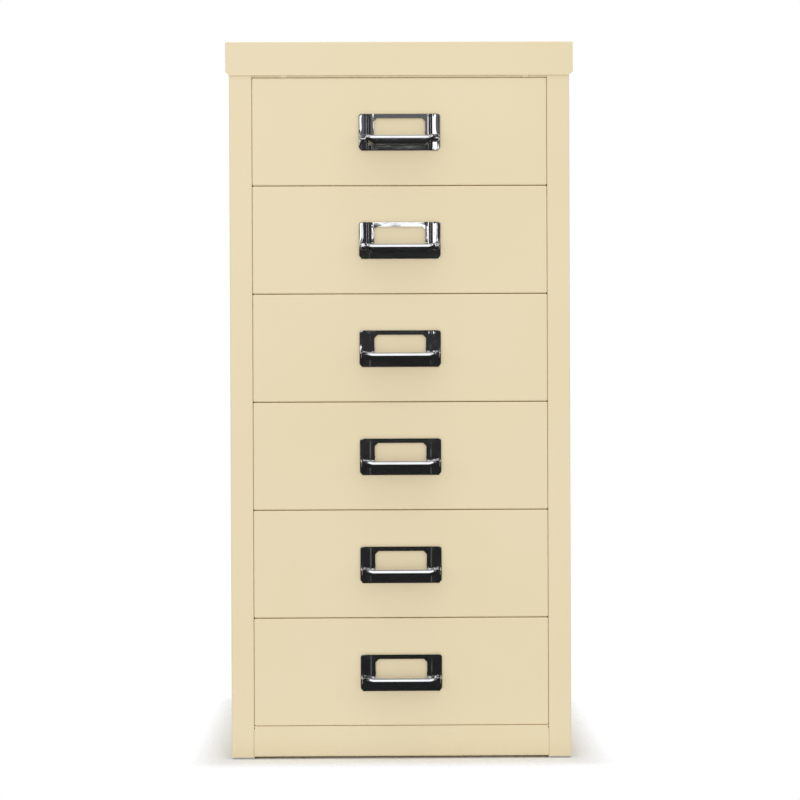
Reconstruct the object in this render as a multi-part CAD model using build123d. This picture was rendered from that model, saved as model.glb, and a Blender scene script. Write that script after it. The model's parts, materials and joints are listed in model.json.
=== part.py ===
from build123d import *
import os

# Steel cabinet with six equal drawers, in millimetres.
# +Z is up, the drawers open towards -Y, and +X is to the right as seen from the front.
# The origin is the middle of the whole object's footprint, on the surface it stands on.

# Sheets and bends
case_sheet = 0.9
tray_sheet = 0.8
bend_radius = 1.3
case_clearance = 0.3

# Drawers and the gaps around their fronts
drawer_count = 6
drawer_pitch = 89.15
drawer_gap = 0.5
front_width = 242.9
front_side_gap = 0.2
front_fold_depth = 12.0

# Case
body_depth = 374.0
side_rail_width = 18.65
lip_depth = 32.0
bottom_rail_height = 25.85
bottom_rail_lift = 0.6
bottom_gap = 0.25
bottom_rail_return = 16.0
rail_notch_width = 1.5
rail_notch_height = 3.0
top_gap = 2.0
top_rail_gap = 0.3
top_rail_setback = 0.8
top_rail_return = 15.0
base_plate_height = 14.0
base_flange_height = 11.0
back_flange_depth = 12.0

# Cap
cap_height = 27.5
cap_overhang = 2.9
cap_front_overhang = 1.2
cap_bend_radius = 1.0
cap_hem_width = 2.5
cap_side_rise = 5.6
cap_corner_cut_wide = 3.1
cap_corner_cut_high = 2.8

# Feet
foot_height = 1.5
foot_plug_height = 12.0
foot_fit = 0.2
foot_edge = 0.5

# Runners and trays
runner_flange_height = 14.0
runner_shelf_width = 14.0
runner_front_gap = 0.5
runner_tab_width = 11.0
runner_tab_length = 7.0
runner_tab_setback = 6.0
slide_gap = 0.3
tray_side_gap = 0.4
tray_height = 72.0
tray_lift = 6.0
tray_edge_fold = 6.0
tray_rear_gap = 3.0
slide_travel = 285.0
stop_gap = 0.5
lug_width = 8.0
lug_height = 4.0

# Handle: a card frame with a U-shaped pull, pressed from one sheet
handle_width = 67.4
handle_height = 30.3
handle_drop = 0.85
handle_sheet = 1.0
card_gap = 1.2
handle_top_radius = 1.8
handle_foot_cut = 2.2
handle_edge_radius = 0.6
window_width = 42.6
window_top = 3.6
window_lap = 1.45
window_corner_cut = 2.7
rib_place = 25.0
rib_radius = 1.3
pull_width = 62.4
pull_arm_width = 4.6
pull_sheet = 1.1
pull_corner_radius = 5.0
pull_end_radius = 5.5
nose_radius = 4.1
nose_reach = 11.5
nose_height = 7.85
arm_top = 27.6
pull_mouth_lip = 2.0
tab_width = 6.0
tab_place = 24.0
tab_fold = 5.0
tab_fit = 0.15

# Two small nubs on the rail over the top drawer
nub_width = 5.3
nub_height = 3.0
nub_edge_radius = 0.8
nub_places = (-95.0, 104.0)

# How far a cutting shape runs past what it cuts
cut_margin = 1.0

# Sizes that follow
front_height = drawer_pitch - drawer_gap
opening_width = front_width + 2 * front_side_gap
body_width = opening_width + 2 * side_rail_width
cap_width = body_width + 2 * cap_overhang
cap_depth = body_depth + cap_front_overhang + cap_overhang
handle_reach = nose_reach + nose_radius
overall_depth = handle_reach + body_depth + cap_overhang
front_y = handle_reach - overall_depth / 2
back_y = front_y + body_depth
case_bottom = foot_height
rail_top = case_bottom + bottom_rail_height
drawer_stack_top = rail_top + bottom_gap - drawer_gap + drawer_count * drawer_pitch
cap_bottom = drawer_stack_top + top_gap
cap_top = cap_bottom + cap_height
case_top = cap_top - case_sheet
opening_half = opening_width / 2
body_half = body_width / 2
runner_front = front_y + front_fold_depth + runner_front_gap
runner_back = back_y - back_flange_depth - case_clearance
tray_half = opening_half - case_sheet - tray_side_gap
tray_front = front_y + case_sheet
tray_back = back_y - back_flange_depth - tray_rear_gap
stop_back = runner_front + runner_tab_setback + runner_tab_length
lug_front = stop_back + slide_travel + stop_gap


def block(x_low, x_high, y_low, y_high, z_low, z_high):
    """A box between two corners."""
    middle = Pos((x_low + x_high) / 2, (y_low + y_high) / 2, (z_low + z_high) / 2)
    return middle * Box(x_high - x_low, y_high - y_low, z_high - z_low)


def folded_strip(points, plane, length, sheet):
    """A sheet that follows an open line of bends and runs square to the plane.
    The points lie on the outer skin, and the sheet is on their left."""
    path = FilletPolyline(*points, radius=bend_radius)
    section = make_face(path.offset_2d(sheet, side=Side.LEFT, closed=True))
    return extrude(plane * section, length)


def across(y_start):
    """A plane square to Y whose extrusions run to the front from y_start."""
    return Plane(origin=(0, y_start, 0), x_dir=(1, 0, 0), z_dir=(0, -1, 0))


def along(x_start):
    """A plane square to X whose extrusions run to the right from x_start.
    Its first direction is +Y and its second +Z."""
    return Plane(origin=(x_start, 0, 0), x_dir=(0, 1, 0), z_dir=(1, 0, 0))


def save(name, shape):
    """Write one piece and say how large it is."""
    export_step(shape, f"parts/{name}.step")
    size = shape.bounding_box().size
    print(f"{name}: {size.X:.1f} x {size.Y:.1f} x {size.Z:.1f}")


def make_cap():
    """Lid with a deep skirt at the front and rear, a shorter one at each side,
    in-turned lower edges but for the front one, and cut lower corners."""
    half_x = cap_width / 2
    low_y = front_y - cap_front_overhang
    high_y = back_y + cap_overhang
    shell = block(-half_x, half_x, low_y, high_y, cap_bottom, cap_top)
    upright = shell.edges().filter_by(Axis.Z)
    upper = shell.edges().group_by(Axis.Z)[-1]
    shell = fillet(upright + upper, cap_bend_radius)
    hollow = block(
        case_sheet - half_x, half_x - case_sheet,
        low_y + case_sheet, high_y - case_sheet,
        cap_bottom + case_sheet, case_top,
    )
    mouth = block(
        cap_hem_width - half_x, half_x - cap_hem_width,
        front_y - case_clearance, high_y - cap_hem_width,
        cap_bottom, cap_bottom + case_sheet,
    )
    shell = shell - hollow - mouth
    corner = Polyline(
        (half_x, cap_bottom),
        (half_x, cap_bottom + cap_corner_cut_high),
        (half_x - cap_corner_cut_wide, cap_bottom),
        close=True,
    )
    for y_start in (low_y + cap_hem_width, high_y):
        wedge = extrude(across(y_start) * make_face(corner), cap_hem_width)
        shell = shell - wedge - mirror(wedge, about=Plane.YZ)
    side_low = cap_bottom + cap_side_rise
    below_side = block(
        half_x - cap_hem_width, half_x, low_y + case_sheet, high_y - case_sheet, cap_bottom, side_low,
    )
    side_hem = block(
        half_x - cap_hem_width, half_x - case_sheet, low_y + case_sheet, high_y - case_sheet,
        side_low, side_low + case_sheet,
    )
    shell = shell - below_side - mirror(below_side, about=Plane.YZ)
    return shell + side_hem + mirror(side_hem, about=Plane.YZ)


def make_side_panel():
    """Right skin, folded round to the front and the back, each with an inner lip."""
    points = (
        (opening_half, front_y + lip_depth),
        (opening_half, front_y),
        (body_half, front_y),
        (body_half, back_y),
        (opening_half, back_y),
        (opening_half, back_y - lip_depth),
    )
    floor = Plane.XY.offset(case_bottom)
    return folded_strip(points, floor, case_top - case_bottom, case_sheet)


def make_top_rail():
    """Channel between the side panels, above the top drawer and behind the cap,
    with two nubs on its face that come level with the drawers."""
    low = drawer_stack_top + top_rail_gap
    face_y = front_y + top_rail_setback
    points = (
        (face_y + top_rail_return, low),
        (face_y, low),
        (face_y, case_top),
        (face_y + top_rail_return, case_top),
    )
    rail = folded_strip(tuple(reversed(points)), along(-opening_half), opening_width, case_sheet)
    for x_middle in nub_places:
        nub = block(
            x_middle - nub_width / 2, x_middle + nub_width / 2,
            front_y, face_y + case_sheet, low, low + nub_height,
        )
        rail += fillet(nub.edges().filter_by(Axis.Z).group_by(Axis.Y)[0], nub_edge_radius)
    return rail


def make_bottom_rail():
    """Channel under the lowest drawer, with small notches at its upper corners."""
    low = case_bottom + bottom_rail_lift
    points = (
        (front_y + bottom_rail_return, rail_top),
        (front_y, rail_top),
        (front_y, low),
        (front_y + bottom_rail_return, low),
    )
    rail = folded_strip(points, along(-opening_half), opening_width, case_sheet)
    notch = Polyline(
        (opening_half, rail_top),
        (opening_half, rail_top - rail_notch_height),
        (opening_half - rail_notch_width, rail_top),
        close=True,
    )
    wedge = extrude(across(front_y + case_sheet) * make_face(notch), case_sheet)
    return rail - wedge - mirror(wedge, about=Plane.YZ)


def make_back_panel():
    """Shallow pan between the rear lips, with its flanges turned to the front."""
    pan = block(
        -opening_half, opening_half, back_y - back_flange_depth, back_y, case_bottom, case_top,
    )
    rear = pan.edges().group_by(Axis.Y)[-1]
    pan = fillet(pan.edges().filter_by(Axis.Y) + rear, bend_radius)
    return pan - block(
        case_sheet - opening_half, opening_half - case_sheet,
        back_y - back_flange_depth, back_y - case_sheet,
        case_bottom + case_sheet, case_top - case_sheet,
    )


def make_base_pan():
    """Bottom sheet, notched round the corner posts, with flanges down its two sides."""
    skin_half = body_half - case_sheet
    level = case_bottom + base_plate_height
    post = lip_depth + case_clearance
    middle = block(
        -skin_half, skin_half, front_y + post, back_y - post, level - case_sheet, level,
    )
    length = block(
        -opening_half, opening_half,
        front_y + bottom_rail_return + case_clearance, back_y - back_flange_depth,
        level - case_sheet, level,
    )
    flange = block(
        skin_half - case_sheet, skin_half, front_y + post, back_y - post,
        level - base_flange_height, level - case_sheet,
    )
    return middle + length + flange + mirror(flange, about=Plane.YZ)


def make_feet():
    """Four glides: a plug in the foot of each corner post, over a low pad."""
    inner = opening_half + case_sheet + foot_fit
    outer = body_half - case_sheet - foot_fit
    feet = []
    for low_y in (front_y + case_sheet + foot_fit, back_y - lip_depth):
        high_y = low_y + lip_depth - case_sheet - foot_fit
        plug = block(inner, outer, low_y, high_y, case_bottom, case_bottom + foot_plug_height)
        pad = block(opening_half, outer, low_y, high_y, 0, case_bottom)
        pad = chamfer(pad.edges().group_by(Axis.Z)[0], foot_edge)
        foot = plug + pad
        feet += [foot, mirror(foot, about=Plane.YZ)]
    return Compound(feet)


def make_runner(tray_bottom):
    """Right angle under one tray, welded to the lips, with a stop tab near its front."""
    shelf_low = tray_bottom - slide_gap - case_sheet
    points = (
        (opening_half - runner_shelf_width, shelf_low),
        (opening_half, shelf_low),
        (opening_half, shelf_low + runner_flange_height),
    )
    runner = folded_strip(points, across(runner_back), runner_back - runner_front, case_sheet)
    shelf_edge = opening_half - runner_shelf_width
    tab = block(
        shelf_edge - runner_tab_width, shelf_edge,
        stop_back - runner_tab_length, stop_back,
        shelf_low, shelf_low + case_sheet,
    )
    return runner + tab


def handle_slots(y_low, y_high, middle_z):
    """The two slots that the handle's fixing tabs pass through."""
    slots = []
    for side in (-1, 1):
        x_middle = side * tab_place
        slots.append(block(
            x_middle - tab_width / 2 - tab_fit, x_middle + tab_width / 2 + tab_fit,
            y_low, y_high,
            middle_z - handle_sheet / 2 - tab_fit, middle_z + handle_sheet / 2 + tab_fit,
        ))
    return slots


def handle_middle(bottom):
    """Height of the middle of the handle on the drawer whose front starts at bottom."""
    return bottom + front_height / 2 - handle_drop


def make_front(bottom):
    """Drawer front with its four edges folded back."""
    half_x = front_width / 2
    top = bottom + front_height
    pan = block(-half_x, half_x, front_y, front_y + front_fold_depth, bottom, top)
    face_edges = pan.edges().group_by(Axis.Y)[0]
    pan = fillet(pan.edges().filter_by(Axis.Y) + face_edges, bend_radius)
    pan -= block(
        case_sheet - half_x, half_x - case_sheet,
        front_y + case_sheet, front_y + front_fold_depth,
        bottom + case_sheet, top - case_sheet,
    )
    return pan - handle_slots(front_y, front_y + case_sheet, handle_middle(bottom))


def make_tray(bottom):
    """Tray with an in-turned upper edge and two stop lugs under its rear."""
    low = bottom + tray_lift
    high = low + tray_height
    tray = block(-tray_half, tray_half, tray_front, tray_back, low, high)
    upright = tray.edges().filter_by(Axis.Z)
    tray = fillet(upright + tray.edges().group_by(Axis.Z)[0], bend_radius)
    tray -= block(
        tray_sheet - tray_half, tray_half - tray_sheet,
        tray_front + tray_sheet, tray_back - tray_sheet,
        low + tray_sheet, high - tray_sheet,
    )
    tray -= block(
        tray_edge_fold - tray_half, tray_half - tray_edge_fold,
        tray_front + tray_sheet, tray_back - tray_edge_fold,
        high - tray_sheet, high,
    )
    lug_outer = opening_half - runner_shelf_width - stop_gap
    lug = block(
        lug_outer - lug_width, lug_outer,
        lug_front, lug_front + tray_sheet,
        low - lug_height, low + tray_sheet,
    )
    tray = tray + lug + mirror(lug, about=Plane.YZ)
    return tray - handle_slots(tray_front, tray_front + tray_sheet, handle_middle(bottom))


def pull_profile(inset):
    """Side outline of the pull's arms, drawn in by inset: Y to the back, Z up,
    from the foot of the handle on the face of the drawer."""
    skin = -(card_gap + handle_sheet)
    radius = nose_radius - inset
    nose_top = (-nose_reach, nose_height + radius)
    nose_low = (-nose_reach, nose_height - radius)
    arm_head = (skin, arm_top - inset)
    nose = ThreePointArc(nose_low, (-nose_reach - radius, nose_height), nose_top)
    bow = TangentArc(arm_head, nose_top, tangent=(0, -1))
    back = Polyline(arm_head, (skin, nose_low[1]), nose_low)
    return make_face(Wire([nose, bow, *back.edges()]))


def make_pull():
    """U-shaped pull: a hollow bar that is open below, with an arm up each side."""
    half_x = pull_width / 2
    skin = -(card_gap + handle_sheet)
    pocket_half = half_x - pull_arm_width
    bar_top = nose_height + nose_radius

    def pocket(inset):
        """The space inside the U, from the bar upwards."""
        low = bar_top - inset
        outline = RectangleRounded(
            2 * (pocket_half + inset), 2 * handle_height, pull_corner_radius + inset,
        )
        depth = handle_reach + cut_margin
        plane = Plane(origin=(0, skin, low + handle_height), x_dir=(1, 0, 0), z_dir=(0, -1, 0))
        return extrude(plane * outline, depth)

    def plan(inset):
        """The pull from above, with rounded ends."""
        depth = handle_reach + skin - inset
        outline = RectangleRounded(2 * (half_x - inset), 2 * depth, pull_end_radius - inset)
        plane = Plane(origin=(0, skin, -cut_margin), x_dir=(1, 0, 0), z_dir=(0, 0, 1))
        return extrude(plane * outline, handle_height + 2 * cut_margin)

    outer = extrude(along(-half_x) * pull_profile(0), 2 * half_x)
    outer = (outer - pocket(0)) & plan(0)
    hollow_half = half_x - pull_sheet
    inner = extrude(along(-hollow_half) * pull_profile(pull_sheet), 2 * hollow_half)
    inner = (inner - pocket(pull_sheet)) & plan(pull_sheet)
    mouth = block(
        -hollow_half, hollow_half,
        -nose_reach + pull_mouth_lip, skin,
        nose_height - nose_radius, nose_height,
    ) & plan(pull_sheet)
    return outer - inner - mouth


def make_handle_shape():
    """The handle, with its foot at Z = 0 and the drawer's face at Y = 0."""
    half_x = handle_width / 2
    skin = -(card_gap + handle_sheet)
    outline = Polyline(
        (-half_x + handle_foot_cut, 0),
        (half_x - handle_foot_cut, 0),
        (half_x, handle_foot_cut),
        (half_x, handle_height),
        (-half_x, handle_height),
        (-half_x, handle_foot_cut),
        close=True,
    )
    face = make_face(outline)
    face = fillet(face.vertices().group_by(Axis.Y)[-1], handle_top_radius)
    plate = extrude(across(0) * face, card_gap + handle_sheet)
    front_edges = plate.edges().group_by(Axis.Y)[0]
    plate = fillet(front_edges, handle_edge_radius)
    plate -= block(
        handle_sheet - half_x, half_x - handle_sheet,
        -card_gap, 0,
        handle_sheet, handle_height,
    )
    window_half = window_width / 2
    window_high = handle_height - window_top
    rib_foot = nose_height + nose_radius
    window = block(-window_half, window_half, skin, 0, rib_foot - window_lap, window_high)
    window = chamfer(window.edges().filter_by(Axis.Y), window_corner_cut)
    handle = plate - window
    for side in (-1, 1):
        rib = Pos(side * rib_place, skin, (rib_foot + window_high) / 2)
        handle += rib * Cylinder(rib_radius, window_high - rib_foot)
    handle += make_pull()
    tab_middle = handle_height / 2
    fold_start = case_sheet + tray_sheet + tab_fit
    for side in (-1, 1):
        x_low = side * tab_place - tab_width / 2
        x_high = x_low + tab_width
        z_low = tab_middle - handle_sheet / 2
        z_high = z_low + handle_sheet
        fold_end = fold_start + handle_sheet
        handle += block(x_low, x_high, -card_gap, fold_end, z_low, z_high)
        handle += block(x_low, x_high, fold_start, fold_end, z_low - tab_fold, z_low)
    return handle


os.makedirs("parts", exist_ok=True)

save("top_cap", make_cap())
save("top_front_rail", make_top_rail())
side_panel = make_side_panel()
save("right_side_panel", side_panel)
save("left_side_panel", mirror(side_panel, about=Plane.YZ))
save("back_panel", make_back_panel())
save("base_pan", make_base_pan())
save("bottom_front_rail", make_bottom_rail())
save("feet", make_feet())

handle_shape = make_handle_shape()
for number in range(1, drawer_count + 1):
    drawer_bottom = drawer_stack_top - number * drawer_pitch + drawer_gap
    runner = make_runner(drawer_bottom + tray_lift)
    save(f"runner_right_{number}", runner)
    save(f"runner_left_{number}", mirror(runner, about=Plane.YZ))
    save(f"drawer_{number}_front", make_front(drawer_bottom))
    save(f"drawer_{number}_tray", make_tray(drawer_bottom))
    handle_foot = handle_middle(drawer_bottom) - handle_height / 2
    save(f"drawer_{number}_handle", Pos(0, front_y, handle_foot) * handle_shape)

print(f"cap {cap_width:.1f} x {cap_depth:.1f}, top at {cap_top:.1f}")
print(f"body {body_width:.1f} x {body_depth:.1f}, front face at Y {front_y:.2f}")
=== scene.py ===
# %% [markdown]
# A slim steel cabinet with six drawers, dressed for its picture.
# The construction arrives ready made: every folded sheet sits where it belongs, and this
# script adds what the eye looks for. That is the powder coat and its fine skin, the bright
# pressed pulls, the plastic glides, the studio and the camera.

# %% Load the frame
import json
import math

import bmesh
import bpy
from mathutils import Matrix, Vector, noise
from mathutils.geometry import interpolate_bezier


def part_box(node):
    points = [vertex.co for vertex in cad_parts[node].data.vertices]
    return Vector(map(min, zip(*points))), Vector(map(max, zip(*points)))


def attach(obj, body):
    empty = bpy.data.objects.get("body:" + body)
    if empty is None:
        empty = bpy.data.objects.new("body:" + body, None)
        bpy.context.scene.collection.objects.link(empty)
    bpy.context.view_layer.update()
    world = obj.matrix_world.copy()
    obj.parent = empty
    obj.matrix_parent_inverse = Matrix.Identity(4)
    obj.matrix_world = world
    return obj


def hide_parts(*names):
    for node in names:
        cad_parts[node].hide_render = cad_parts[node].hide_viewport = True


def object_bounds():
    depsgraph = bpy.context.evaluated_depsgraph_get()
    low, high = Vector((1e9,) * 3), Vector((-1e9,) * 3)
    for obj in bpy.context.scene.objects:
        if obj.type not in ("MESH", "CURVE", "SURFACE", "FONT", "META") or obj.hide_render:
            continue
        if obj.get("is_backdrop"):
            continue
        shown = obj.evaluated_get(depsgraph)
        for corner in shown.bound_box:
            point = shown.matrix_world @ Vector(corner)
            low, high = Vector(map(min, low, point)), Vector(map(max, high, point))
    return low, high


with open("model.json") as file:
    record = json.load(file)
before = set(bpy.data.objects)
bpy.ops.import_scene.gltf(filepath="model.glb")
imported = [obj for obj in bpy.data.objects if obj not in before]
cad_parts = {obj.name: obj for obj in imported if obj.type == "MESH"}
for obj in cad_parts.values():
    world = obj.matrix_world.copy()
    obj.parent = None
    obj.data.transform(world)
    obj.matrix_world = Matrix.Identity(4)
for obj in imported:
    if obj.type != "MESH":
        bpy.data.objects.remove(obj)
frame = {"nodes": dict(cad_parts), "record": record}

cad_low, cad_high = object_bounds()
print("cad box", [round(v, 4) for v in (*cad_low, *cad_high)])

# %% [markdown]
# Everything is placed from the frame, so the first step measures it. The face of the drawers
# is a plane, and each pull is as wide and as high as the box of its own node.

# %% Measure the frame
MM = 0.001
DRAWERS = range(1, 7)

face_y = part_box("drawer_1_front")[0].y
handle_low, handle_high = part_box("drawer_1_handle")
handle_width = handle_high.x - handle_low.x
handle_height = handle_high.z - handle_low.z
print("drawer face at", round(face_y, 4), "pull", round(handle_width, 4), round(handle_height, 4))

# %% [markdown]
# The photograph is taken from nearly straight ahead with a long lens. The stand is a little
# above the middle of the cabinet and a little to its left, turned and tipped back towards the
# middle, so verticals stay almost upright. A hint of roll leans the picture as the photo does.

# %% Camera
CAMERA_DISTANCE = 2.05
CAMERA_SIDE = -0.0224
CAMERA_HEIGHT = 0.3132
CAMERA_TURN = math.radians(0.617)
CAMERA_TIP = math.radians(0.473)
CAMERA_ROLL = math.radians(0.22)
LENS = 111.8

camera_data = bpy.data.cameras.new("camera")
camera_data.lens = LENS
camera_data.sensor_width = 36.0
camera_data.clip_start = 0.05
camera = bpy.data.objects.new("camera", camera_data)
bpy.context.scene.collection.objects.link(camera)
bpy.context.scene.camera = camera

aim = Vector((math.sin(CAMERA_TURN), math.cos(CAMERA_TURN), -math.tan(CAMERA_TIP))).normalized()
turn = aim.to_track_quat("-Z", "Y") @ Matrix.Rotation(-CAMERA_ROLL, 4, "Z").to_quaternion()
camera.location = (CAMERA_SIDE, face_y - CAMERA_DISTANCE, CAMERA_HEIGHT)
camera.rotation_mode = "QUATERNION"
camera.rotation_quaternion = turn
print("camera at", [round(v, 3) for v in camera.location])

# %% [markdown]
# A material is a small graph of nodes. These helpers add one node and join its inputs in one
# call, so that each finish below reads from top to bottom like a recipe.

# %% Helpers for node graphs
def add_node(tree, kind, inputs=None, **settings):
    """Adds a node. An input is a number, a colour or another node's output."""
    node = tree.nodes.new(kind)
    for name, value in settings.items():
        setattr(node, name, value)
    for name, value in (inputs or {}).items():
        socket = node.inputs[name]
        if isinstance(value, bpy.types.NodeSocket):
            tree.links.new(value, socket)
        else:
            socket.default_value = value
    return node


def new_material(name):
    """An empty material with its output node."""
    material = bpy.data.materials.new(name)
    material.use_nodes = True
    tree = material.node_tree
    tree.nodes.clear()
    output = add_node(tree, "ShaderNodeOutputMaterial")
    return material, tree, output


def maths(tree, operation, first, second):
    """One sum on two numbers."""
    node = add_node(tree, "ShaderNodeMath", {0: first, 1: second}, operation=operation)
    return node.outputs["Value"]


def vector_maths(tree, operation, first, second=(0.0, 0.0, 0.0)):
    """The node of one sum on vectors, as its results can be a vector or a number."""
    return add_node(tree, "ShaderNodeVectorMath", {0: first, 1: second}, operation=operation)


def cloudy(tree, place, scale=1.0, detail=2.0):
    """Soft noise from 0 to 1 over a set of coordinates."""
    node = add_node(tree, "ShaderNodeTexNoise", {"Vector": place, "Scale": scale, "Detail": detail})
    return node.outputs["Fac"]


def mixed_color(tree, factor, first, second):
    """A colour on the way from one to another."""
    node = add_node(tree, "ShaderNodeMix", {
        "Factor": factor, "A": first, "B": second,
    }, data_type="RGBA")
    return node.outputs["Result"]


def relief(tree, height, strength, distance):
    """A normal bent by a pattern that stands as tall as the distance in metres."""
    node = add_node(tree, "ShaderNodeBump", {
        "Height": height, "Strength": strength, "Distance": distance,
    })
    return node.outputs["Normal"]


def finish_surface(tree, output, inputs):
    """The surface shader, joined to the output."""
    shader = add_node(tree, "ShaderNodeBsdfPrincipled", inputs)
    tree.links.new(shader.outputs["BSDF"], output.inputs["Surface"])


def object_pattern(tree, scale):
    """Object coordinates in metres, multiplied by a scale for each direction."""
    place = add_node(tree, "ShaderNodeTexCoord")
    mapping = add_node(tree, "ShaderNodeMapping", {"Vector": place.outputs["Object"]})
    mapping.inputs["Scale"].default_value = scale
    return mapping.outputs["Vector"]


def remap(tree, value, low, high, from_low=0.0, from_high=1.0):
    """A number moved from one range to another."""
    node = add_node(tree, "ShaderNodeMapRange", {
        "Value": value, "From Min": from_low, "From Max": from_high,
        "To Min": low, "To Max": high,
    })
    return node.outputs["Result"]


def mirrored_ray(tree):
    """1 for what is seen in a mirror or through glass, 0 for the rest."""
    path = add_node(tree, "ShaderNodeLightPath")
    glossy, clear = path.outputs["Is Glossy Ray"], path.outputs["Is Transmission Ray"]
    return maths(tree, "MAXIMUM", glossy, clear)


def edge_mask(tree, radius):
    """Rises towards 1 beside sharp edges, where a coat wears or thins."""
    soft = add_node(tree, "ShaderNodeBevel", {"Radius": radius}, samples=4)
    true = add_node(tree, "ShaderNodeNewGeometry")
    cosine = vector_maths(tree, "DOT_PRODUCT", soft.outputs["Normal"], true.outputs["Normal"])
    return remap(tree, cosine.outputs["Value"], 1.0, 0.0, 0.80, 0.999)


# %% [markdown]
# Powder coat is sprayed as dust and melted in an oven. It flows into a smooth satin skin with
# a faint orange peel about a millimetre across, pools evenly on the flats and thins on the
# sharp folds. The colour hardly varies, so the change is a very wide, very weak noise. The
# orange peel is a bump, because it is some ten microns high, far below what a mesh can hold.

# %% Cream powder coat
CREAM = (0.799, 0.687, 0.456, 1.0)
CREAM_DEEP = (0.780, 0.664, 0.430, 1.0)
CREAM_THIN = (0.910, 0.820, 0.620, 1.0)
FOLD_RADIUS = 1.2 * MM
FOLD_WEAR = 0.85
PEEL_HEIGHT = 0.12 * MM


def powder_coat(name, color, deep, thin, peel):
    """Satin powder coat with orange peel, cloudy depth and lighter, rubbed folds."""
    material, tree, output = new_material(name)
    wide = object_pattern(tree, (7.0, 7.0, 7.0))
    cloud = cloudy(tree, wide, detail=3.0)
    body = mixed_color(tree, remap(tree, cloud, 0.0, 1.0, 0.35, 0.75), color, deep)
    rub = remap(tree, cloudy(tree, wide, 9.0, 4.0), 0.0, 1.0, 0.45, 0.70)
    rubbed_edge = maths(tree, "MULTIPLY", edge_mask(tree, FOLD_RADIUS), rub)
    coat = mixed_color(tree, maths(tree, "MULTIPLY", rubbed_edge, FOLD_WEAR), body, thin)
    fine = object_pattern(tree, (900.0, 900.0, 900.0))
    grain = remap(tree, cloudy(tree, fine, 4.5, 1.0), -0.03, 0.03)
    gloss = remap(tree, cloud, 0.34, 0.46, 0.3, 0.7)
    finish_surface(tree, output, {
        "Base Color": coat, "Roughness": maths(tree, "ADD", gloss, grain),
        "Normal": relief(tree, cloudy(tree, fine), peel, PEEL_HEIGHT), "IOR": 1.48,
    })
    return material


cream = powder_coat("cream_powder_coat", CREAM, CREAM_DEEP, CREAM_THIN, 0.35)
print("made", cream.name)

# %% [markdown]
# Chrome plate is a mirror: nearly all of its look is what it reflects, so the base colour is
# one cool grey. A real pull is polished before plating and handled after, so a weak, slightly
# stretched noise lifts the roughness in places and a bump of some ten microns bends reflections.

# %% Bright chrome
CHROME_LIGHT = (0.78, 0.79, 0.81, 1.0)
CHROME_DEEP = (0.70, 0.71, 0.735, 1.0)
WAVE_HEIGHT = 0.4 * MM


def bright_chrome(name):
    """Polished chrome plate with faint polishing waves and handling haze."""
    material, tree, output = new_material(name)
    haze_place = object_pattern(tree, (60.0, 60.0, 90.0))
    haze = cloudy(tree, haze_place, detail=4.0)
    lines_place = object_pattern(tree, (150.0, 900.0, 1800.0))
    lines = cloudy(tree, lines_place)
    tint = mixed_color(tree, remap(tree, haze, 0.0, 1.0, 0.3, 0.7), CHROME_LIGHT, CHROME_DEEP)
    hazy = remap(tree, haze, 0.035, 0.075, 0.3, 0.7)
    polished = remap(tree, lines, 0.0, 0.03, 0.4, 0.8)
    finish_surface(tree, output, {
        "Base Color": tint, "Roughness": maths(tree, "ADD", hazy, polished),
        "Normal": relief(tree, haze, 0.12, WAVE_HEIGHT), "Metallic": 1.0,
    })
    return material


chrome = bright_chrome("bright_chrome")
print("made", chrome.name)

# %% [markdown]
# The runners are cut from zinc-plated coil. Zinc freezes in soft crystals, which a Voronoi
# pattern imitates: each cell has its own grey and its own gloss, with fine rolling lines
# along the strip.

# %% Zinc-plated runners
ZINC_DEEP = (0.50, 0.51, 0.53, 1.0)
ZINC_LIGHT = (0.62, 0.63, 0.65, 1.0)
LINE_HEIGHT = 0.1 * MM


def zinc_plate(name):
    """Zinc-plated sheet with a fine spangle and rolling lines along the runner."""
    material, tree, output = new_material(name)
    cells = object_pattern(tree, (260.0, 120.0, 260.0))
    spangle = add_node(tree, "ShaderNodeTexVoronoi", {"Vector": cells, "Scale": 1.0})
    grey = add_node(tree, "ShaderNodeSeparateColor", {"Color": spangle.outputs["Color"]})
    line_place = object_pattern(tree, (2600.0, 18.0, 2600.0))
    line = cloudy(tree, line_place, detail=3.0)
    color = mixed_color(tree, grey.outputs["Red"], ZINC_DEEP, ZINC_LIGHT)
    crystal_gloss = remap(tree, grey.outputs["Green"], 0.27, 0.40)
    line_gloss = remap(tree, line, -0.04, 0.05)
    finish_surface(tree, output, {
        "Base Color": color, "Roughness": maths(tree, "ADD", crystal_gloss, line_gloss),
        "Normal": relief(tree, line, 0.2, LINE_HEIGHT), "Metallic": 1.0,
    })
    return material


zinc = zinc_plate("zinc_plate")
print("made", zinc.name)

# %% [markdown]
# The glides are moulded plastic with a matt, spark-eroded skin. A fine noise is enough, as
# bump and as a small change of roughness, with scuffed, lighter edges.

# %% Moulded glides
PLASTIC = (0.46, 0.46, 0.45, 1.0)
PLASTIC_SCUFFED = (0.62, 0.62, 0.60, 1.0)
SCUFF_RADIUS = 0.6 * MM
GRAIN_HEIGHT = 0.1 * MM


def moulded_plastic(name):
    """Matt grey moulded plastic with a fine eroded grain."""
    material, tree, output = new_material(name)
    fine = object_pattern(tree, (1500.0, 1500.0, 1500.0))
    grain = cloudy(tree, fine, detail=3.0)
    scuffed = mixed_color(tree, edge_mask(tree, SCUFF_RADIUS), PLASTIC, PLASTIC_SCUFFED)
    finish_surface(tree, output, {
        "Base Color": scuffed, "Roughness": remap(tree, grain, 0.5, 0.7),
        "Normal": relief(tree, grain, 0.5, GRAIN_HEIGHT),
    })
    return material


plastic = moulded_plastic("moulded_plastic")
print("made", plastic.name)

# %% [markdown]
# Each node of the frame names the slot it is finished in, so one loop dresses them all.

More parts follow.
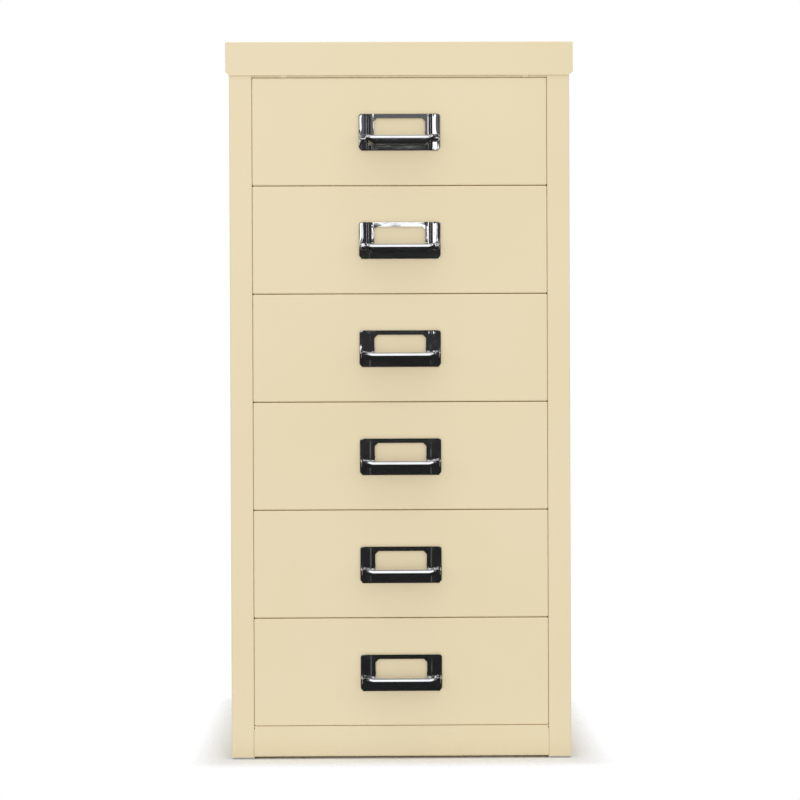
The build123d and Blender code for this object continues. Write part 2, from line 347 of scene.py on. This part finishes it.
# %% Dress the frame
FINISHES = {
    "cream_paint": cream, "chrome": chrome, "zinc_steel": zinc, "glide_plastic": plastic,
}
for part in frame["record"]["subparts"]:
    node = frame["nodes"][part["node"]]
    node.data.materials.clear()
    node.data.materials.append(FINISHES[part["material_slot"]])

# %% [markdown]
# The pull is one pressing: a card frame whose lower part swells out into a bar, open below
# for the fingers. A stiffening rib runs down each side of the window, and the strips outside
# the ribs sweep out to the ends of the bar. It could be a box model with bevels, but chrome
# shows every crease, and the sheet of a pressing has none. So a flat grid is pushed into
# shape: one direction of the grid runs across the pull, and the other follows the sheet from
# its upper edge down over the bar to the lip, and then down the skirt behind it.

# %% Sizes of the pull
SKIN = 2.2 * MM
SHEET = 1.0 * MM
HALF = handle_width / 2
TALL = handle_height
EDGE_ROLL = 0.6 * MM
RIM_BACK = 0.4 * MM
TOP_CORNER = 1.8 * MM
FOOT_CUT_WIDTH = 2.2 * MM
FOOT_CUT_HEIGHT = 2.6 * MM

WINDOW_HALF = 21.3 * MM
WINDOW_TOP = TALL - 3.6 * MM
WINDOW_CUT = 2.7 * MM
WINDOW_FOOT_CUT = 1.3 * MM
RIB_INNER = 24.0 * MM
RIB_PLACE = 25.6 * MM
RIB_OUTER = 27.2 * MM
TOP_DIP = 0.13 * MM
TOP_DIP_DEEP = 3.2 * MM
TOP_DIP_WIDE = 5.5 * MM
DENT_DEPTH = 0.06 * MM
DENT_SPACING = 7.0 * MM

BAR_END = 32.2 * MM
BAR_ROUND = 1.4 * MM
BAR_MIDDLE = 9.6 * MM
END_DRAWN_IN = 0.5
END_HEIGHT_SHARE = 0.7
CLIMB_START = 22.8 * MM
CLIMB_END = 28.0 * MM
SHOULDER_START = 25.4 * MM
SHOULDER_END = 29.0 * MM
MOUTH_TOP = 9.4 * MM
MOUTH_END_TOP = 11.6 * MM
SKIRT_TILT = 0.05
STRIP_TOP = 15.5 * MM
STRIP_FOOT_RISE = 0.3 * MM
BLUNTNESS = 12
POCKETS = ((23.0 * MM, 1.3 * MM), (30.2 * MM, 1.9 * MM))
POCKET_RISE = 0.8 * MM
RIB_FADE = 0.8
FACE_TOP = 9.5 * MM
FACE_LOW = 5.8 * MM
APRON_HALF = 21.0 * MM
APRON_END = 24.8 * MM
print("pull", round(handle_width, 4), "wide and", round(handle_height, 4), "tall")

# %% [markdown]
# The side view of the bar is five curves joined end to end: from the frame out to the top of
# the bar, over its rim, down its sloping shoulder, round a tight bend, and down its face to
# the lip. Blender's own Bezier function draws them from a few knots. The middle of the bar and
# its two ends have different knots, because the ends rise into the side strips, and columns
# in between blend the two.

# %% Side view of the bar
CURVE_STEPS = (9, 4, 8, 4, 6)


def side_curves(knots):
    """Points along Bezier curves that share their ends, as (out, up) in metres."""
    points = []
    for index, steps in enumerate(CURVE_STEPS):
        first, second, third, last = (Vector(knot) * MM for knot in knots[index * 3:index * 3 + 4])
        curve = interpolate_bezier(first, second, third, last, steps + 1)
        points += curve if index == 0 else curve[1:]
    return points


MIDDLE_BAR = side_curves([
    (2.2, 12.2), (2.2, 11.5), (3.0, 11.4), (12.6, 11.85),
    (13.2, 11.9), (13.45, 11.8), (13.45, 11.3),
    (13.45, 11.15), (15.1, 9.45), (15.1, 9.3),
    (15.1, 9.15), (15.1, 9.0), (15.09, 8.9),
    (15.0, 7.2), (14.95, 6.2), (14.75, 4.5),
])
WINDOW_BAR = side_curves([
    (2.2, 10.9), (5.0, 11.3), (8.5, 11.6), (12.6, 11.85),
    (13.2, 11.9), (13.45, 11.8), (13.45, 11.3),
    (13.45, 11.15), (15.1, 9.45), (15.1, 9.3),
    (15.1, 9.15), (15.1, 9.0), (15.09, 8.9),
    (15.0, 7.2), (14.95, 6.2), (14.75, 4.5),
])
END_BAR = side_curves([
    (2.2, 12.8), (2.2, 12.5), (2.5, 12.4), (14.6, 12.5),
    (14.8, 12.5), (14.9, 12.4), (14.9, 12.2),
    (14.9, 11.9), (14.9, 10.7), (14.9, 10.4),
    (14.9, 10.3), (14.9, 10.2), (14.9, 10.1),
    (14.9, 9.2), (14.88, 8.2), (14.75, 7.1),
])
BAR_ROWS = len(MIDDLE_BAR)
print("rows along the bar:", BAR_ROWS)

# %% [markdown]
# The grid needs its lines closest where the sheet curves most: over the ribs, at the ends of
# the bar and at the rolled edges. Elsewhere a few wide columns are enough.

# %% Columns and rows of the grid
def spread(start, end, steps):
    """Even stations after a start, up to and with an end."""
    return [start + (end - start) * (k + 1) / steps for k in range(steps)]


def rolled(start, radius, steps):
    """Stations over a rolled edge, closer together as it turns away."""
    return [start + radius * math.sin(math.pi / 2 * (k + 1) / steps) for k in range(steps)]


ROLL_START = HALF - EDGE_ROLL
RIDGE = 0.14 * MM
VALLEY = 0.10 * MM
CORNER = 0.24 * MM
# Where each span of columns ends, counted from the middle, and how many columns it has.
SIDE_SPANS = (
    (WINDOW_HALF - WINDOW_CUT, 4), (WINDOW_HALF, 4), (RIB_INNER, 7),
    (RIB_PLACE - RIDGE, 4), (RIB_PLACE + RIDGE, 6),
    (RIB_OUTER - VALLEY, 5), (RIB_OUTER + VALLEY, 4),
    (BAR_END - BAR_ROUND, 7), (BAR_END - CORNER, 7), (BAR_END, 4), (BAR_END + CORNER, 3),
    (ROLL_START, 2),
)
side_columns = []
span_start = 0.0
for span_end, steps in SIDE_SPANS:
    side_columns += spread(span_start, span_end, steps)
    span_start = span_end
side_columns += rolled(ROLL_START, EDGE_ROLL, 5) + [HALF]
COLUMNS = [-x for x in reversed(side_columns)] + [0.0] + side_columns

ROWS = [("head", share) for share in (0.0, 0.06, 0.16, 0.30, 0.5, 0.75, 1.0)]
ROWS += [("window", share) for share in (0.12, 0.25, 0.38, 0.50, 0.60, 0.70, 0.78, 0.86, 0.93)]
ROWS += [("bar", index) for index in range(BAR_ROWS)]
ROWS += [("skirt", share) for share in (0.0, 0.2, 0.4, 0.6, 0.8, 0.96, 1.0)]
ROWS += [("foot", share) for share in (0.2, 0.4, 0.6, 0.8, 1.0)]
ROWS += [("rim", 0.0)]
FIRST_WINDOW_ROW = ROWS.index(("head", 1.0))
FIRST_BAR_ROW = ROWS.index(("bar", 0))
LIP_ROW = FIRST_BAR_ROW + BAR_ROWS - 1
print(len(COLUMNS), "columns and", len(ROWS), "rows")

# %% [markdown]
# Now the shape itself, as small rules that add up: how far a rib rises, how the strips are
# crowned, how the ends of the bar round off, and how the outline draws in at its corners.

# %% Rules of the sheet
def eased(value, low, high):
    """0 below a low value, 1 above a high one, and a smooth rise in between."""
    share = min(max((value - low) / (high - low), 0.0), 1.0)
    return share * share * (3.0 - 2.0 * share)


def blend(first, second, share):
    """A value or a point on the way from one to another."""
    return first + (second - first) * share


UPPER_SECTION = (
    (21.3, 0.04, -0.07), (22.3, 0.0, 0.0), (24.0, 0.09, 0.22), (25.5, 0.44, 0.24),
    (25.6, 0.45, 0.0), (25.7, 0.44, -0.28), (27.1, 0.03, -0.28), (27.3, 0.02, 0.12),
    (27.9, 0.08, 0.19), (30.7, 0.36, 0.0), (33.7, 0.06, -0.20),
)
LOWER_SECTION = (
    (21.3, 0.0, 0.0), (22.5, 0.0, 0.0), (24.0, 0.07, 0.18), (25.5, 0.40, 0.22),
    (25.6, 0.41, 0.0), (25.7, 0.40, -0.26), (27.1, 0.03, -0.26), (27.3, 0.02, 0.11),
    (27.9, 0.07, 0.17), (30.7, 0.42, 0.08), (33.7, 0.50, 0.0),
)
LOWER_BELOW = 12.0 * MM
UPPER_ABOVE = 19.0 * MM


def section_at(knots, side):
    """Height of a cross-section whose knots are (place, height, slope) in millimetres."""
    side = min(max(side / MM, knots[0][0]), knots[-1][0])
    for (start, low, slope), (end, high, next_slope) in zip(knots, knots[1:]):
        if side <= end:
            break
    length = end - start
    t = (side - start) / length
    rise = low + (high - low) * t * t * (3.0 - 2.0 * t)
    rise += length * t * (1.0 - t) * (slope * (1.0 - t) - next_slope * t)
    return rise * MM


def surface_rise(x, up):
    """Ribs, hollow margins and crowned strips above the flat of the frame."""
    upper = eased(up, LOWER_BELOW, UPPER_ABOVE)
    rise = blend(section_at(LOWER_SECTION, abs(x)), section_at(UPPER_SECTION, abs(x)), upper)
    near_top = 1.0 - eased(TALL - up, 0.0, TOP_DIP_DEEP)
    near_rib = 1.0 - eased(abs(abs(x) - RIB_PLACE), 0.0, TOP_DIP_WIDE)
    return rise - TOP_DIP * near_top * near_rib


def half_width_at(up):
    """Half the width of the pull at a height: round top corners, slanted foot corners."""
    from_top = min(max(TALL - up, 0.0), TOP_CORNER)
    top = TOP_CORNER - math.sqrt(max(TOP_CORNER ** 2 - (TOP_CORNER - from_top) ** 2, 0.0))
    foot = FOOT_CUT_WIDTH * max(1.0 - up / FOOT_CUT_HEIGHT, 0.0)
    return HALF - max(top, foot)


def window_top_at(x):
    """The upper edge of the window follows its slanting corner, then returns to its height."""
    side = abs(x)
    slant = max(side - (WINDOW_HALF - WINDOW_CUT), 0.0)
    if side > WINDOW_HALF:
        slant = WINDOW_CUT * (1.0 - eased(side, WINDOW_HALF, RIB_INNER))
    return WINDOW_TOP - slant


def bar_share(x):
    """1 along the bar, falling steeply to 0 at its blunt end."""
    along = max(abs(x) - (BAR_END - BAR_ROUND), 0.0) / BAR_ROUND
    return max(1.0 - along ** BLUNTNESS, 0.0) ** (1.0 / BLUNTNESS)


def pocket_at(x):
    """1 in the middle of the hollows on both sides of a rib's foot, 0 away from them."""
    return max(1.0 - eased(abs(abs(x) - middle), 0.0, half) for middle, half in POCKETS)


def bar_point(x, index):
    """A point of the bar's side view at a column, as (out, up)."""
    side = abs(x)
    in_window = 1.0 - eased(side, WINDOW_HALF - WINDOW_FOOT_CUT, WINDOW_HALF)
    middle = blend(MIDDLE_BAR[index], WINDOW_BAR[index], in_window)
    low = 1.0 - eased(middle.y, FACE_LOW, FACE_TOP)
    apron = eased(side, APRON_HALF, APRON_END)
    climb = blend(eased(side, CLIMB_START, CLIMB_END), apron, low)
    reach = blend(eased(side, SHOULDER_START, SHOULDER_END), apron, low)
    end = END_BAR[index]
    point = Vector((blend(middle.x, end.x, reach), blend(middle.y, end.y, climb)))
    root = max(1.0 - index / CURVE_STEPS[0], 0.0) ** 2 * (1.0 - in_window)
    along = max(side - (BAR_END - BAR_ROUND), 0.0) / BAR_ROUND
    narrow = math.sqrt(1.0 - END_DRAWN_IN * along ** 2) if along < 1.0 else END_HEIGHT_SHARE
    up = BAR_MIDDLE + (point.y - BAR_MIDDLE) * narrow + POCKET_RISE * pocket_at(x) * root
    return Vector((point.x, up))


def mouth_top_at(x):
    """The upper edge of the skirt behind the bar, higher behind its ends."""
    return blend(MOUTH_TOP, MOUTH_END_TOP, eased(abs(x), WINDOW_HALF, RIB_INNER))


def frame_point(x, kind, share):
    """A point of the frame above or below the bar, as (out, up)."""
    root = bar_point(x, 0).y if abs(x) < BAR_END else flat_bar_point(0).y
    if kind == "head":
        up = blend(TALL, window_top_at(x), share)
    elif kind == "window":
        up = blend(window_top_at(x), root, share)
    elif kind == "skirt":
        up = blend(mouth_top_at(x), EDGE_ROLL, share)
    elif kind == "foot":
        up = EDGE_ROLL * (1.0 - math.sin(math.pi / 2 * share))
    else:
        return Vector((RIM_BACK, 0.0))
    tilt = SKIRT_TILT * max(MOUTH_TOP - up, 0.0)
    return Vector((SKIN + surface_rise(x, up) - tilt, up))


def flat_bar_point(index):
    """Where a row of the bar lies in the side strips, which have no bar."""
    share = index / (BAR_ROWS - 1)
    return Vector((SKIN, blend(STRIP_TOP, MOUTH_END_TOP + STRIP_FOOT_RISE, share)))


def sheet_point(x, row):
    """The place of one crossing of the grid, with the rolled side edge and the corners."""
    kind, share = ROWS[row]
    if kind == "bar":
        flat = flat_bar_point(share)
        rise = surface_rise(x, flat.y)
        flat.x += rise
        shaped = bar_point(x, share)
        shaped.x += rise * max(1.0 - share / (CURVE_STEPS[0] * RIB_FADE), 0.0)
        point = blend(flat, shaped, bar_share(x))
    else:
        point = frame_point(x, kind, share)
    out, up = point
    side = abs(x)
    over_side = max(side - ROLL_START, 0.0) / EDGE_ROLL
    over_foot = max(EDGE_ROLL - up, 0.0) / EDGE_ROLL
    over = min(math.hypot(over_side, over_foot), 1.0)
    if side > RIB_OUTER:
        side = blend(RIB_OUTER, half_width_at(up), (side - RIB_OUTER) / (HALF - RIB_OUTER))
    out = max(out - EDGE_ROLL * (1.0 - math.sqrt(1.0 - over ** 2)), RIM_BACK)
    return Vector((math.copysign(side, x), -out, up))


# %% [markdown]
# The grid operator makes all crossings at once, as a square from -1 to 1. Each crossing knows
# its column and row from where it starts, and the rules give it its place. The outermost
# column on each side is turned back towards the drawer, like the rim of the real pressing.
# Then the faces of the window and of the finger opening are deleted.

# %% Push the grid into shape
WELD = 0.02 * MM
MOUTH_MARGIN = 0.3 * MM
ROUNDING = 1e-6


def crossing(vert):
    """Column and row of a vertex in the square that the grid operator makes."""
    column = round((vert.co.x + 1.0) / 2.0 * (len(COLUMNS) - 1))
    row = round((1.0 - vert.co.y) / 2.0 * (len(ROWS) - 1))
    return column, row


def inside_opening(corners):
    """Whether a face lies in the window, or in the slit between the lip and the skirt."""
    sides = [abs(COLUMNS[column]) for column, row in corners]
    top_row = min(row for column, row in corners)
    in_window = max(sides) < WINDOW_HALF + ROUNDING and FIRST_WINDOW_ROW <= top_row < FIRST_BAR_ROW
    in_mouth = max(sides) < BAR_END + MOUTH_MARGIN and top_row == LIP_ROW
    return in_window or in_mouth


def pull_sheet():
    """The sheet of the pull as an open mesh, with its face towards the front."""
    net = bmesh.new()
    bmesh.ops.create_grid(net, x_segments=len(COLUMNS) - 1, y_segments=len(ROWS) - 1, size=1.0)
    place = {vert: crossing(vert) for vert in net.verts}
    openings = [face for face in net.faces if inside_opening([place[vert] for vert in face.verts])]
    for vert, (column, row) in place.items():
        vert.co = sheet_point(COLUMNS[column], row)
        if column in (0, len(COLUMNS) - 1):
            vert.co.y = -RIM_BACK
    bmesh.ops.delete(net, geom=openings, context="FACES")
    loose = [vert for vert in net.verts if not vert.link_faces]
    bmesh.ops.delete(net, geom=loose, context="VERTS")
    bmesh.ops.remove_doubles(net, verts=net.verts[:], dist=WELD)
    bmesh.ops.recalc_face_normals(net, faces=net.faces[:])
    frontmost = min(net.faces, key=lambda face: face.calc_center_median().y)
    if frontmost.normal.y > 0:
        bmesh.ops.reverse_faces(net, faces=net.faces[:])
    print("sheet of the pull:", len(net.faces), "faces,", len(openings), "cut out")
    return net


pull_net = pull_sheet()

# %% [markdown]
# Each drawer gets a copy of the sheet, given its thickness and a few shallow dents of its own.
# Two tabs hold each pull. They pass through slots in the drawer and are folded down inside, so
# they are small bevelled boxes in a piece beside the sheet. Both pieces take their place from
# the box of the CAD handle.

# %% Make the six pulls
TAB_WIDTH = 6.0 * MM
TAB_PLACE = 24.0 * MM
TAB_FOLD = 5.0 * MM
TAB_BEVEL = 0.15 * MM
TAB_ROOT = 0.8 * SHEET - SKIN
EDGE_BREAK = 0.2 * MM
EDGE_ANGLE = math.radians(55.0)
DENT_FLOOR = 0.1 * MM
DENT_SHIFT = 3.0


def soft_box(mesh, low, high, bevel):
    """A closed box between two corners with softened edges, added to a bmesh."""
    low, high = Vector(low), Vector(high)
    size = high - low
    place = Matrix.Translation((low + high) / 2) @ Matrix.Diagonal((*size, 1.0))
    made = bmesh.ops.create_cube(mesh, size=1.0, matrix=place)
    edges = {edge for vert in made["verts"] for edge in vert.link_edges}
    bmesh.ops.bevel(
        mesh, geom=list(edges), offset=bevel, offset_type="OFFSET", segments=2,
        profile=0.5, affect="EDGES", material=-1,
    )


def tab_boxes(reach_back):
    """Corners of the two tabs, each a tongue through the drawer and a fold behind it."""
    middle = handle_height / 2
    boxes = []
    for side in (-1, 1):
        low_x = side * TAB_PLACE - TAB_WIDTH / 2
        high_x = low_x + TAB_WIDTH
        tongue_low = middle - SHEET / 2
        tongue_high = middle + SHEET / 2
        boxes.append(((low_x, TAB_ROOT, tongue_low), (high_x, reach_back, tongue_high)))
        boxes.append((
            (low_x, reach_back - SHEET, tongue_low - TAB_FOLD), (high_x, reach_back, tongue_low),
        ))
    return boxes


def finish_object(mesh, name, material, smooth=True):
    """Turns a bmesh into an object in the scene."""
    data = bpy.data.meshes.new(name)
    mesh.to_mesh(data)
    data.materials.append(material)
    data.polygons.foreach_set("use_smooth", [smooth] * len(data.polygons))
    piece = bpy.data.objects.new(name, data)
    bpy.context.scene.collection.objects.link(piece)
    return piece


def thicken(piece, thickness, edge):
    """Gives an open sheet its thickness behind its face, and breaks its cut edges."""
    wall = piece.modifiers.new("wall", "SOLIDIFY")
    wall.thickness = thickness
    wall.offset = -1.0
    broken = piece.modifiers.new("edges", "BEVEL")
    broken.width = edge
    broken.segments = 2
    broken.limit_method = "ANGLE"
    broken.angle_limit = EDGE_ANGLE
    broken.harden_normals = True


def dent(mesh, number):
    """Presses shallow dents into the frame of one pull, different in every pull."""
    for vert in mesh.verts:
        if vert.co.y > -RIM_BACK - DENT_FLOOR:
            continue
        place = Vector((vert.co.x, vert.co.z, number * DENT_SHIFT * DENT_SPACING)) / DENT_SPACING
        vert.co.y += DENT_DEPTH * noise.noise(place)


for number in DRAWERS:
    low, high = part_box(f"drawer_{number}_handle")
    place = Matrix.Translation(((low.x + high.x) / 2, face_y, low.z))
    copy = pull_net.copy()
    dent(copy, number)
    copy.transform(place)
    pull = finish_object(copy, f"pull_{number}", chrome)
    copy.free()
    thicken(pull, SHEET, EDGE_BREAK)
    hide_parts(f"drawer_{number}_handle")
    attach(pull, f"drawer_{number}")
    tabs = bmesh.new()
    for tab_low, tab_high in tab_boxes(high.y - face_y):
        soft_box(tabs, tab_low, tab_high, TAB_BEVEL)
    tabs.transform(place)
    tab_piece = finish_object(tabs, f"pull_tabs_{number}", chrome, smooth=False)
    tabs.free()
    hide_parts(f"drawer_{number}_handle")
    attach(tab_piece, f"drawer_{number}")
pull_net.free()
print("made six pulls with their tabs")

# %% [markdown]
# The studio is a small pale floor that fades out into the white background. It keeps the soft
# shadow right beside the cabinet, as the paper sweep under a catalogue picture does. Mirrored
# rays pass through it, so that the chrome reflects the dark room and not a bright floor.

# %% Floor
FLOOR_SIZE = 3.0
SHADOW_REACH = 0.03


def pale_floor():
    """Pale floor that keeps the shadow beside the cabinet and fades out further away."""
    material, tree, output = new_material("pale_floor")
    place = add_node(tree, "ShaderNodeTexCoord")
    mirrored_side = vector_maths(tree, "ABSOLUTE", place.outputs["Object"])
    footprint = (cad_high.x, cad_high.y, 0.0)
    beside = vector_maths(tree, "SUBTRACT", mirrored_side.outputs["Vector"], footprint)
    outside = vector_maths(tree, "MAXIMUM", beside.outputs["Vector"])
    distance = vector_maths(tree, "LENGTH", outside.outputs["Vector"])
    fade = remap(tree, distance.outputs["Value"], 0.0, 1.0, 0.0, SHADOW_REACH)
    tone = remap(tree, cloudy(tree, place.outputs["Object"], 40.0), 0.90, 0.93)
    color = add_node(tree, "ShaderNodeCombineColor", {"Red": tone, "Green": tone, "Blue": tone})
    diffuse = add_node(tree, "ShaderNodeBsdfDiffuse", {"Color": color.outputs["Color"]})
    beyond = add_node(tree, "ShaderNodeBsdfTransparent")
    unseen = maths(tree, "MAXIMUM", fade, mirrored_ray(tree))
    mixed = add_node(tree, "ShaderNodeMixShader", {
        0: unseen, 1: diffuse.outputs["BSDF"], 2: beyond.outputs["BSDF"],
    })
    tree.links.new(mixed.outputs["Shader"], output.inputs["Surface"])
    return material


floor_mesh = bmesh.new()
bmesh.ops.create_circle(
    floor_mesh, cap_ends=True, cap_tris=False, segments=96, radius=FLOOR_SIZE / 2,
)
floor = finish_object(floor_mesh, "floor", pale_floor(), smooth=False)
floor_mesh.free()
floor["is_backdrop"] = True
print("floor", FLOOR_SIZE, "across")

# %% [markdown]
# The camera sees plain white behind the cabinet. The chrome sees a dark room instead, a little
# lighter towards its ceiling and white behind the cabinet. That dark room is what makes chrome
# look like chrome: flat plate mirrors the room, and only the rounded parts pick up the lamps.
# The paint is lit by an even fill that is strongest from straight ahead, so that the narrow
# gaps and the shadow under the cap stay soft. Paint that is lit by way of the chrome takes the
# fill too, or the pulls would darken the paint beside them.

# %% World
ROOM_LOW = 0.015
ROOM_HIGH = 0.10
ROOM_RISE = (-0.1, 0.6)
BEHIND_RISE = (-0.05, 0.25)
AMBIENT = 0.66
AMBIENT_FRONT = 1.488
FRONT_CONE = (-0.97, -0.60)


def studio_world():
    """White behind the cabinet, a dark room behind the camera, and an even soft fill."""
    world = bpy.data.worlds.new("studio")
    bpy.context.scene.world = world
    world.use_nodes = True
    tree = world.node_tree
    tree.nodes.clear()
    output = add_node(tree, "ShaderNodeOutputWorld")
    place = add_node(tree, "ShaderNodeTexCoord")
    axes = add_node(tree, "ShaderNodeSeparateXYZ", {"Vector": place.outputs["Generated"]})
    room = remap(tree, axes.outputs["Z"], ROOM_LOW, ROOM_HIGH, *ROOM_RISE)
    behind = remap(tree, axes.outputs["Y"], 0.0, 1.0, *BEHIND_RISE)
    mirrored = add_node(tree, "ShaderNodeMix", {
        "Factor": behind, "A": room, "B": 1.0,
    }, data_type="FLOAT")
    path = add_node(tree, "ShaderNodeLightPath")
    ambient = remap(tree, axes.outputs["Y"], AMBIENT_FRONT, AMBIENT, *FRONT_CONE)
    before_paint = maths(tree, "LESS_THAN", path.outputs["Diffuse Depth"], 0.5)
    shown = maths(tree, "MULTIPLY", mirrored_ray(tree), before_paint)
    fill = add_node(tree, "ShaderNodeMix", {
        "Factor": shown, "A": ambient, "B": mirrored.outputs["Result"],
    }, data_type="FLOAT")
    seen = add_node(tree, "ShaderNodeMix", {
        "Factor": path.outputs["Is Camera Ray"], "A": fill.outputs["Result"], "B": 1.0,
    }, data_type="FLOAT")
    sky = add_node(tree, "ShaderNodeBackground", {
        "Color": (1.0, 1.0, 1.0, 1.0), "Strength": seen.outputs["Result"],
    })
    tree.links.new(sky.outputs["Background"], output.inputs["Surface"])


studio_world()
print("ambient", AMBIENT, "and from the front", AMBIENT_FRONT)

# %% [markdown]
# A wide lamp overhead draws the bright line along each bar, because the shoulder of a bar is
# the only part that is tilted towards it. A soft box on each side models the folds. One large
# and one narrow soft box near the camera fill the flat strips of the upper pulls, and three dim
# cards put a faint grey into the plate that would mirror nothing else.

# %% Lamps
def soft_lamp(name, place, target, width, height, radiance):
    """A rectangular soft box that faces a point, as bright as a glowing card of that value."""
    data = bpy.data.lights.new(name, "AREA")
    data.shape = "RECTANGLE"
    data.size = width
    data.size_y = height
    data.energy = radiance * math.pi * width * height
    lamp = bpy.data.objects.new(name, data)
    bpy.context.scene.collection.objects.link(lamp)
    lamp.location = place
    direction = Vector(target) - Vector(place)
    lamp.rotation_mode = "QUATERNION"
    lamp.rotation_quaternion = direction.to_track_quat("-Z", "Y")


CAMERA_PLANE = face_y - CAMERA_DISTANCE
LAMPS = (
    # Name, place, point it faces, width, height and radiance.
    ("lamp_top", (0.0, -0.60, 2.0), (0.0, -0.59, 0.0), 2.2, 0.8, 1.2),
    ("lamp_left", (-1.9, -1.3, 1.0), (0.0, 0.0, 0.8), 0.8, 0.9, 0.7),
    ("lamp_right", (1.9, -1.3, 1.0), (0.0, 0.0, 0.8), 0.8, 0.9, 0.7),
    ("lamp_by_camera", (-0.40, CAMERA_PLANE, 0.69), (0.0, 0.0, 0.45), 0.42, 0.42, 1.5),
    ("lamp_over_camera", (0.02, CAMERA_PLANE, 0.57), (0.0, 0.0, 0.44), 0.22, 0.07, 1.5),
    ("card_over_camera", (0.05, CAMERA_PLANE, 0.80), (0.0, 0.0, 0.5), 0.9, 0.26, 0.10),
    ("card_low_left", (-1.0, CAMERA_PLANE, 0.0), (0.0, 0.0, 0.2), 0.14, 0.7, 0.09),
    ("card_low_right", (1.0, CAMERA_PLANE, 0.0), (0.0, 0.0, 0.2), 0.14, 0.7, 0.09),
)
for lamp in LAMPS:
    soft_lamp(*lamp)
bpy.context.scene.view_settings.view_transform = "Standard"
print("studio with", len(LAMPS), "lamps and cards")

# %% [markdown]
# The last step writes how large the dressed cabinet came out beside the CAD box.

# %% Sizes and finish
low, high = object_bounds()
print("cad", [round(v, 4) for v in (*cad_low, *cad_high)])
print("visual", [round(v, 4) for v in (*low, *high)])
